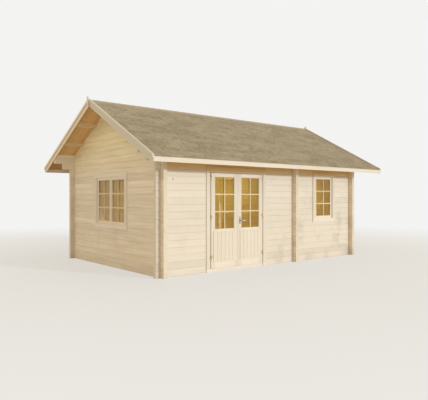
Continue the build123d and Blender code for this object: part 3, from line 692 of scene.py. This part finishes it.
def make_courses_tree():
    """Copies of one piece in rows and columns, with odd rows shifted and each copy slightly off."""
    tree, given, result = new_tree(
        "Pieces in courses",
        Piece="Object",
        Columns="Int",
        Rows="Int",
        Start="Vector",
        Column_Step="Vector",
        Row_Step="Vector",
        Shift="Float",
        Play="Vector",
        Turn="Vector",
        Seed="Int",
        Material="Material",
    )

    def steps(step, number):
        """A whole or half number of steps."""
        return got(tree, "ShaderNodeVectorMath", {0: given[step], 3: number}, operation="SCALE")

    def drawn(range_name, seed):
        """A random vector between the named one and its opposite."""
        most = given[range_name]
        sockets = {0: stretched(tree, most, (-1.0, -1.0, -1.0)), 1: most, "Seed": seed}
        return got(tree, "FunctionNodeRandomValue", sockets, data_type="FLOAT_VECTOR")

    count = times(tree, given["Columns"], given["Rows"])
    points = got(tree, "GeometryNodeMeshLine", {"Count": count}, mode="OFFSET")
    index = got(tree, "GeometryNodeInputIndex")
    row = maths(tree, "FLOOR", maths(tree, "DIVIDE", maths(tree, "ADD", index, 0.5), given["Columns"]))
    column = minus(tree, index, times(tree, row, given["Columns"]))
    odd = maths(tree, "MODULO", row, 2.0)
    column = maths(tree, "ADD", column, times(tree, odd, given["Shift"]))
    spot = vector_maths(tree, "ADD", steps("Column Step", column), steps("Row Step", row))
    spot = vector_maths(tree, "ADD", spot, given["Start"])
    play = drawn("Play", given["Seed"])
    turn = drawn("Turn", maths(tree, "ADD", given["Seed"], 11.0))
    placed = got(tree, "GeometryNodeSetPosition", {"Geometry": points, "Position": spot, "Offset": play})
    piece = put(tree, "GeometryNodeObjectInfo", {"Object": given["Piece"]}).outputs["Geometry"]
    sockets = {"Points": placed, "Instance": piece, "Rotation": turn}
    pieces = got(tree, "GeometryNodeInstanceOnPoints", sockets)
    tone = put(tree, "FunctionNodeRandomValue", {"Seed": given["Seed"]}, data_type="FLOAT").outputs[1]
    sockets = {"Geometry": pieces, "Name": "tab_tone", "Value": tone}
    toned = got(tree, "GeometryNodeStoreNamedAttribute", sockets, data_type="FLOAT", domain="INSTANCE")
    end_tree(tree, toned, given["Material"], result)
    return tree


def rounded(tree, width, height, radius):
    """Closed outline of a rectangle with rounded corners."""
    outline = got(tree, "GeometryNodeCurvePrimitiveQuadrilateral", {0: width, 1: height})
    sockets = {"Curve": outline, "Count": 2, "Radius": radius}
    return got(tree, "GeometryNodeFilletCurve", sockets, mode="POLY")


def make_bars_tree():
    """Moulded bars that part a pane into lights, upright and level, in a standing XZ plane."""
    tree, given, result = new_tree(
        "Glazing bars",
        Width="Float",
        Height="Float",
        Columns="Int",
        Rows="Int",
        Bar_Width="Float",
        Bar_Depth="Float",
        Material="Material",
    )
    bevel = times(tree, given["Bar Depth"], 0.35)

    def bars(count, span, length, is_upright):
        """One direction of bars, evenly spaced over the span."""
        def vector(value, is_across):
            """A vector across the bars or along them."""
            parts = (value, 0.0, 0.0) if is_across == is_upright else (0.0, 0.0, value)
            return join(tree, *parts)

        sides = [given["Bar Width"], given["Bar Depth"]]
        if not is_upright:
            sides = [minus(tree, given["Bar Depth"], CROSSING_STEP), given["Bar Width"]]
        profile = rounded(tree, *sides, bevel)
        pitch = maths(tree, "DIVIDE", span, count)
        first = minus(tree, pitch, times(tree, span, 0.5))
        number = minus(tree, count, 1.0)
        sockets = {"Count": number, "Start Location": vector(first, True), "Offset": vector(pitch, True)}
        points = got(tree, "GeometryNodeMeshLine", sockets, mode="OFFSET")
        half = times(tree, length, 0.5)
        ends = {0: vector(times(tree, half, -1.0), False), 1: vector(half, False)}
        path = got(tree, "GeometryNodeCurvePrimitiveLine", ends)
        swept = got(tree, "GeometryNodeCurveToMesh", {0: path, 1: profile, "Fill Caps": True})
        return got(tree, "GeometryNodeInstanceOnPoints", {"Points": points, "Instance": swept})

    both = put(tree, "GeometryNodeJoinGeometry")
    tree.links.new(bars(given["Columns"], given["Width"], given["Height"], True), both.inputs[0])
    tree.links.new(bars(given["Rows"], given["Height"], given["Width"], False), both.inputs[0])
    end_tree(tree, both.outputs[0], given["Material"], result)
    return tree


def make_bead_tree():
    """Glazing bead with rounded corners round a pane, in a level XY plane."""
    tree, given, result = new_tree(
        "Glazing bead", Width="Float", Height="Float", Bead="Float", Material="Material"
    )
    bead = given["Bead"]
    sides = {n: minus(tree, given[side], bead) for n, side in enumerate(("Width", "Height"))}
    path = got(tree, "GeometryNodeCurvePrimitiveQuadrilateral", sides)
    section = rounded(tree, bead, bead, times(tree, bead, 0.35))
    swept = got(tree, "GeometryNodeCurveToMesh", {0: path, 1: section})
    end_tree(tree, swept, given["Material"], result)
    return tree


def make_heads_tree():
    """Screw heads on points; each point carries the direction that its head faces."""
    tree, given, result = new_tree("Screw heads", Head="Object", Material="Material")
    facing = got(tree, "GeometryNodeInputNamedAttribute", {"Name": "facing"}, data_type="FLOAT_VECTOR")
    turn = got(tree, "FunctionNodeAlignRotationToVector", {"Vector": facing}, axis="Z")
    head = put(tree, "GeometryNodeObjectInfo", {"Object": given["Head"]}).outputs["Geometry"]
    sockets = {"Points": given["Geometry"], "Instance": head, "Rotation": turn}
    end_tree(tree, got(tree, "GeometryNodeInstanceOnPoints", sockets), given["Material"], result)
    return tree


COURSES = make_courses_tree()
GLAZING_BARS = make_bars_tree()
GLAZING_BEAD = make_bead_tree()
SCREW_HEADS = make_heads_tree()


# Making and showing meshes

patterns = []


def new_object(name, data):
    """New object in the scene."""
    made = bpy.data.objects.new(name, data)
    bpy.context.scene.collection.objects.link(made)
    return made


def meshed(shape, name):
    """Mesh of a finished shape."""
    mesh = bpy.data.meshes.new(name)
    shape.to_mesh(mesh)
    shape.free()
    return mesh


def pattern(shape, name):
    """Object that a geometry tree copies; it is removed at the end."""
    patterns.append(new_object(name, meshed(shape, name)))
    return patterns[-1]


def grown(tree, base=None, **sizes):
    """Mesh that a geometry tree makes with these inputs, from a base mesh or from nothing."""
    holder = new_object("holder", base or bpy.data.meshes.new("holder"))
    modifier = holder.modifiers.new("grown", "NODES")
    modifier.node_group = tree
    for item in tree.interface.items_tree:
        label = item.name.replace(" ", "_")
        if item.in_out == "INPUT" and label in sizes:
            modifier[item.identifier] = sizes[label]
    depsgraph = bpy.context.evaluated_depsgraph_get()
    depsgraph.update()
    mesh = bpy.data.meshes.new_from_object(holder.evaluated_get(depsgraph))
    bpy.data.objects.remove(holder)
    return mesh


def show(name, meshes, body, replaced=()):
    """One finished piece from meshes that are in place, on its body and with its material slot."""
    shape = bmesh.new()
    for mesh in meshes:
        shape.from_mesh(mesh)
    for face in shape.faces:
        face.material_index = 0
    joined = meshed(shape, name)
    joined.materials.append(next(filter(None, meshes[0].materials)))
    made = new_object(name, joined)
    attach(made, body)
    if replaced:
        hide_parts(*replaced)


def solid(name, outline, length, axis=0):
    """Prism: the outline of (u, v) pairs swept from -length/2 to length/2 along X (axis 0), or Y (axis 1).
    Along X, u is Y and v is Z; along Y, u is X and v is Z."""
    shape = bmesh.new()
    rings = []
    for end in (-length / 2, length / 2):
        places = [(end, u, v) if axis == 0 else (u, end, v) for u, v in outline]
        rings.append([shape.verts.new(place) for place in places])
    for n in range(len(outline)):
        after = (n + 1) % len(outline)
        shape.faces.new((rings[0][n], rings[0][after], rings[1][after], rings[1][n]))
    shape.faces.new(rings[0])
    shape.faces.new(rings[1])
    bmesh.ops.recalc_face_normals(shape, faces=shape.faces)
    return pattern(shape, name)


def trimmed(mesh, low_x, high_x, high_y=None):
    """The mesh cut off square at both ends and, if asked, along its upper edge, with the cuts closed."""
    shape = bmesh.new()
    shape.from_mesh(mesh)
    cuts = [((low_x, 0, 0), (-1, 0, 0)), ((high_x, 0, 0), (1, 0, 0))]
    if high_y is not None:
        cuts.append(((0, high_y, 0), (0, 1, 0)))
    for place, way in cuts:
        parts = shape.verts[:] + shape.edges[:] + shape.faces[:]
        cut = bmesh.ops.bisect_plane(shape, geom=parts, plane_co=place, plane_no=way, clear_outer=True)
        edges = [part for part in cut["geom_cut"] if isinstance(part, bmesh.types.BMEdge)]
        bmesh.ops.holes_fill(shape, edges=edges, sides=0)
    bmesh.ops.recalc_face_normals(shape, faces=shape.faces)
    shape.to_mesh(mesh)
    shape.free()
    return mesh


def laid(mesh, matrix):
    """Copy of a mesh set in place."""
    copied = mesh.copy()
    copied.transform(matrix)
    return copied


def fitted(span, pitch):
    """How many pieces fill a span, and the pitch that fills it."""
    count = round(span / pitch)
    return count, span / count


# Roof covering, made flat with Y up the slope from the ridge, then laid on each slope
deck_low, deck_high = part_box("roof_boards_front")
roof_left, roof_right = deck_low.x, deck_high.x
roof_span = roof_right - roof_left
ridge_underside = deck_low.z - deck_low.y * tan(PITCH)
slope_length = -deck_low.y / cos(PITCH)
felt_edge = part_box("shingles_front")[0].y
felt_length = (-felt_edge - (DECK_THICKNESS + SHINGLE_THICKNESS) * sin(PITCH)) / cos(PITCH)
FRONT_SLOPE = Matrix.Translation((0, 0, ridge_underside)) @ Matrix.Rotation(PITCH, 4, "X")
SLOPES = {"front": FRONT_SLOPE, "back": Matrix.Rotation(radians(180), 4, "Z") @ FRONT_SLOPE}


def board_outline(pitch, thickness, groove_low):
    """Section of a board with bevelled edges on its seen side; groove_low puts them underneath."""
    half = (pitch - BOARD_GAP) / 2
    flat = half - BOARD_GROOVE
    seen, hidden = (0.0, thickness) if groove_low else (thickness, 0.0)
    inner = seen + (BOARD_GROOVE if groove_low else -BOARD_GROOVE)
    return [(-flat, seen), (flat, seen), (half, inner), (half, hidden), (-half, hidden), (-half, inner)]


soffit_count, soffit_pitch = fitted(roof_span, BOARD_PITCH)
soffit_board = solid("soffit_board", board_outline(soffit_pitch, DECK_THICKNESS, True), slope_length, 1)
for v in soffit_board.data.vertices:
    v.co.y += v.co.z * tan(PITCH) - slope_length / 2
soffit = grown(
    COURSES,
    Piece=soffit_board,
    Columns=soffit_count,
    Rows=1,
    Start=(roof_left + soffit_pitch / 2, 0.0, 0.0),
    Column_Step=(soffit_pitch, 0.0, 0.0),
    Seed=3,
    Material=SOFFIT,
)
for word, matrix in SLOPES.items():
    show(f"soffit_boards_{word}", [laid(soffit, matrix)], "cabin", [f"roof_boards_{word}"])

# Shingles: a strip of felt under rows of tabs, each row lapping the one below
rows = int(felt_length / SHINGLE_EXPOSURE)
exposure = felt_length / rows
columns, tab_width = fitted(roof_span, TAB_WIDTH)
tab_rise = SHINGLE_THICKNESS * TAB_BUTT
tab_end = exposure * TAB_LAP
tab_outline = [
    (0.0, FELT_SHEET),
    (0.0, tab_rise),
    (0.004, tab_rise + 0.0008),
    (tab_end, 0.0036),
    (tab_end, 0.0006),
]
tabs = grown(
    COURSES,
    Piece=solid("felt_tab", tab_outline, tab_width - TAB_GAP),
    Columns=columns + 2,
    Rows=rows,
    Start=(roof_left - tab_width / 2, -felt_length, DECK_THICKNESS),
    Column_Step=(tab_width, 0.0, 0.0),
    Row_Step=(0.0, exposure, 0.0),
    Shift=0.5,
    Play=(0.0012, 0.0015, 0.0003),
    Turn=(0.0, 0.0, 0.004),
    Seed=8,
    Material=FELT,
)
tabs = trimmed(tabs, roof_left, roof_right, 0.0)
sheet_end = -felt_length + SHEET_INSET
sheet_top = DECK_THICKNESS + FELT_SHEET
sheet_outline = [(sheet_end, DECK_THICKNESS), (sheet_end, sheet_top), (0.0, sheet_top), (0.0, DECK_THICKNESS)]
sheet = solid("felt_sheet", sheet_outline, roof_span).data
sheet.materials.append(FELT)
for word, matrix in SLOPES.items():
    pieces = [laid(tabs, matrix), laid(sheet, matrix)]
    show(f"felt_shingles_{word}", pieces, "cabin", [f"shingles_{word}"])

# Ridge: folded tabs of felt that lap along the ridge
cap_low, cap_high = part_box("ridge_cap")
cap_reach = cap_high.y
cap_count, cap_pitch = fitted(cap_high.x - cap_low.x, RIDGE_EXPOSURE)
fold_drop = cap_reach * tan(PITCH)
fold_outline = [
    (-cap_reach, -fold_drop),
    (0.0, 0.0),
    (cap_reach, -fold_drop),
    (cap_reach, -fold_drop - RIDGE_FELT),
    (0.0, -RIDGE_FELT),
    (-cap_reach, -fold_drop - RIDGE_FELT),
]
fold = solid("ridge_tab", fold_outline, cap_pitch * TAB_LAP)
for v in fold.data.vertices:
    v.co.z -= FELT_SHEET if v.co.x > 0 else 0.0
caps = grown(
    COURSES,
    Piece=fold,
    Columns=cap_count,
    Rows=1,
    Start=(cap_low.x + cap_pitch * 0.5, 0.0, cap_high.z),
    Column_Step=(cap_pitch, 0.0, 0.0),
    Play=(0.001, 0.001, 0.0003),
    Turn=(0.0, 0.0, 0.004),
    Seed=21,
    Material=FELT,
)
show("ridge_felt", [trimmed(caps, roof_left, roof_right)], "cabin", ["ridge_cap"])

# Floors: boards over the joists of each room
for word in ("main", "side"):
    low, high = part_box(f"{word}_room_floor")
    count, pitch = fitted(high.y - low.y, BOARD_PITCH)
    outline = board_outline(pitch, high.z - low.z, False)
    boards = grown(
        COURSES,
        Piece=solid(f"{word}_floor_board", outline, high.x - low.x),
        Columns=count,
        Rows=1,
        Start=((low.x + high.x) / 2, low.y + pitch / 2, low.z),
        Column_Step=(0.0, pitch, 0.0),
        Seed=5,
        Material=FLOOR,
    )
    show(f"{word}_floor_boards", [boards], "cabin", [f"{word}_room_floor"])


# Glazing bars and beads, on both faces of every pane

def standing(centre, on_gable):
    """Matrix that sets a piece of the XZ plane on the front wall or on the left gable."""
    turn = Matrix.Rotation(radians(-90), 4, "Z") if on_gable else Matrix.Identity(4)
    return Matrix.Translation(centre) @ turn


def glaze(low, high, depth, on_gable):
    """Bars and beads in front of and behind one pane; gives their meshes."""
    across, through = (1, 0) if on_gable else (0, 1)
    size = {"Width": high[across] - low[across], "Height": high.z - low.z, "Material": BARS}
    half = (high[through] - low[through]) / 2
    bars, beads = [], []
    for way in (-1, 1):
        place = (low + high) / 2
        middle = place[through]
        place[through] = middle + way * (half + PUTTY + depth / 2)
        grid = grown(GLAZING_BARS, Columns=2, Rows=3, Bar_Width=BAR_WIDTH, Bar_Depth=depth, **size)
        bars.append(laid(grid, standing(place, on_gable)))
        place[through] = middle + way * (half + PUTTY + BEAD / 2)
        bead = grown(GLAZING_BEAD, Bead=BEAD, **size)
        beads.append(laid(bead, standing(place, on_gable) @ Matrix.Rotation(radians(90), 4, "X")))
    return bars + beads


def halves(node):
    """The two panes of the double window, in one node."""
    low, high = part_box(node)
    edge = low.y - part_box("gable_window_sash")[0].y
    middle = (low.y + high.y) / 2
    inset = SASH_GAP / 2 + edge
    return [
        (low, Vector((high.x, middle - inset, high.z))),
        (Vector((low.x, middle + inset, low.z)), high),
    ]


for side in ("left", "right"):
    pieces = glaze(*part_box(f"{side}_leaf_glass"), LEAF_BAR_DEPTH, False)
    show(f"{side}_leaf_bars", pieces, f"{side}_leaf")
pieces = glaze(*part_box("front_window_glass"), WINDOW_BAR_DEPTH, False)
show("front_window_bars", pieces, "cabin")
front_pane, back_pane = halves("gable_window_glass")
pieces = glaze(*front_pane, WINDOW_BAR_DEPTH, True) + glaze(*back_pane, WINDOW_BAR_DEPTH, True)
show("gable_window_bars", pieces, "cabin")


# Screws

def screw_head():
    """Low dome with a cross recess, facing +Z."""
    shape = bmesh.new()

    def ring(shares, rise):
        """Closed ring of points, each at its share of the radius."""
        points = []
        for n, share in enumerate(shares):
            angle = radians(360 * n / SCREW_SIDES)
            reach = SCREW_RADIUS * share
            points.append(shape.verts.new((reach * cos(angle), reach * sin(angle), SCREW_HEIGHT * rise)))
        return points

    rings = [ring([share] * SCREW_SIDES, rise) for share, rise in ((1.0, 0.0), (0.94, 0.55), (0.62, 1.0))]
    rings.append(ring([0.36 if n % 3 == 0 else 0.13 for n in range(SCREW_SIDES)], 1.0))
    pit = shape.verts.new((0.0, 0.0, SCREW_HEIGHT * 0.2))
    for n in range(SCREW_SIDES):
        after = (n + 1) % SCREW_SIDES
        for lower, upper in zip(rings, rings[1:]):
            shape.faces.new((lower[n], lower[after], upper[after], upper[n]))
        shape.faces.new((rings[3][n], rings[3][after], pit))
    shape.faces.new(rings[0][::-1])
    return pattern(shape, "screw_head")


def barge_spots():
    """Two screws at each purlin and at the ends of the strips on every slope, as (place, facing) pairs."""
    spots = []
    for node, way in (("barge_boards_left", -1), ("barge_boards_right", 1)):
        low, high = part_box(node)
        face = low.x if way < 0 else high.x
        for side in (-1, 1):
            for y in SCREW_PLACES:
                top = ridge_underside - y * tan(PITCH)
                for drop in SCREW_DROPS:
                    spots.append(((face, side * y, top - drop), (way, 0, 0)))
    return spots


spots = barge_spots()
screws = bpy.data.meshes.new("barge_screws")
screws.from_pydata([place for place, facing in spots], [], [])
facings = screws.attributes.new("facing", "FLOAT_VECTOR", "POINT")
for n, (place, facing) in enumerate(spots):
    facings.data[n].vector = facing
show("barge_screws", [grown(SCREW_HEADS, screws, Head=screw_head(), Material=BRASSED)], "cabin")

for piece in patterns:
    bpy.data.objects.remove(piece)


# Studio: pale floor, white backdrop, a low key light from the front right, soft fill and warm rooms

def seen_rays(tree):
    """1 for rays from the camera, off metal or through glass, which see the backdrop's plain colour."""
    path = put(tree, "ShaderNodeLightPath").outputs
    seen = maths(tree, "MAXIMUM", path["Is Camera Ray"], path["Is Glossy Ray"])
    return maths(tree, "MAXIMUM", seen, path["Is Transmission Ray"])


floor_mesh = bpy.data.meshes.new("studio_floor")
corners = [(x * FLOOR_REACH, y * FLOOR_REACH, 0) for x, y in ((-1, -1), (1, -1), (1, 1), (-1, 1))]
floor_mesh.from_pydata(corners, [], [(0, 1, 2, 3)])
floor = new_object("studio_floor", floor_mesh)
floor_finish, tree, shader = new_material("Studio floor")
spot = object_spot(tree)[0]
pale = mix(tree, noise(tree, spot, 0.4), FLOOR_DULL, FLOOR_BRIGHT)
feed(tree, shader.inputs, {"Base Color": pale, "Roughness": 0.9, "Specular IOR Level": 0.0})
far = ramp(tree, vector_maths(tree, "LENGTH", spot), 4.0, 16.0)
share = times(tree, times_plus(tree, far, 0.5, 0.5), seen_rays(tree))
white = got(tree, "ShaderNodeEmission", {"Color": BACKDROP, "Strength": 1.0})
show_as(tree, share, shader.outputs[0], white)
floor_mesh.materials.append(floor_finish)

world = bpy.data.worlds.new("Studio")
bpy.context.scene.world = world
world.use_nodes = True
tree = world.node_tree
tree.nodes.clear()
fill = got(tree, "ShaderNodeBackground", {"Color": SKY_FILL, "Strength": 1.0})
backdrop = got(tree, "ShaderNodeBackground", {"Color": BACKDROP, "Strength": 1.0})
both = got(tree, "ShaderNodeMixShader", {0: seen_rays(tree), 1: fill, 2: backdrop})
tree.links.new(both, put(tree, "ShaderNodeOutputWorld").inputs[0])


def facing_way(way, axis):
    """Turn that points an object's axis along a direction, with its Y axis up."""
    return Vector(way).to_track_quat(axis, "Y").to_euler()


def lamp(name, kind, energy, colour, **settings):
    """A light; gives its object."""
    data = bpy.data.lights.new(name, kind)
    data.energy = energy
    data.color = colour
    for key, value in settings.items():
        setattr(data, key, value)
    return new_object(name, data)


def room_lamp(name, energy, x, length):
    """Warm panel under the roof of a room, shining down."""
    made = lamp(name, "AREA", energy, ROOM_LIGHT, shape="RECTANGLE", size=length, size_y=1.6)
    made.location = (x, 0.2, 2.28)


sun = lamp("key", "SUN", 1.5, SUNLIGHT, angle=radians(2.5))
sun.location = (0, 0, 5)
sun.rotation_euler = facing_way(SUN_WAY, "Z")
room_lamp("main_room_light", 20.5, -0.72, 2.0)
room_lamp("side_room_light", 20.0, 1.75, 1.3)

lens = bpy.data.cameras.new("camera")
lens.lens = CAMERA_LENS
lens.sensor_width = 36.0
lens.shift_y = CAMERA_SHIFT
camera = new_object("camera", lens)
camera.location = CAMERA_PLACE
camera.rotation_euler = facing_way(CAMERA_WAY, "-Z")
bpy.context.scene.camera = camera
bpy.context.scene.view_settings.view_transform = "Standard"
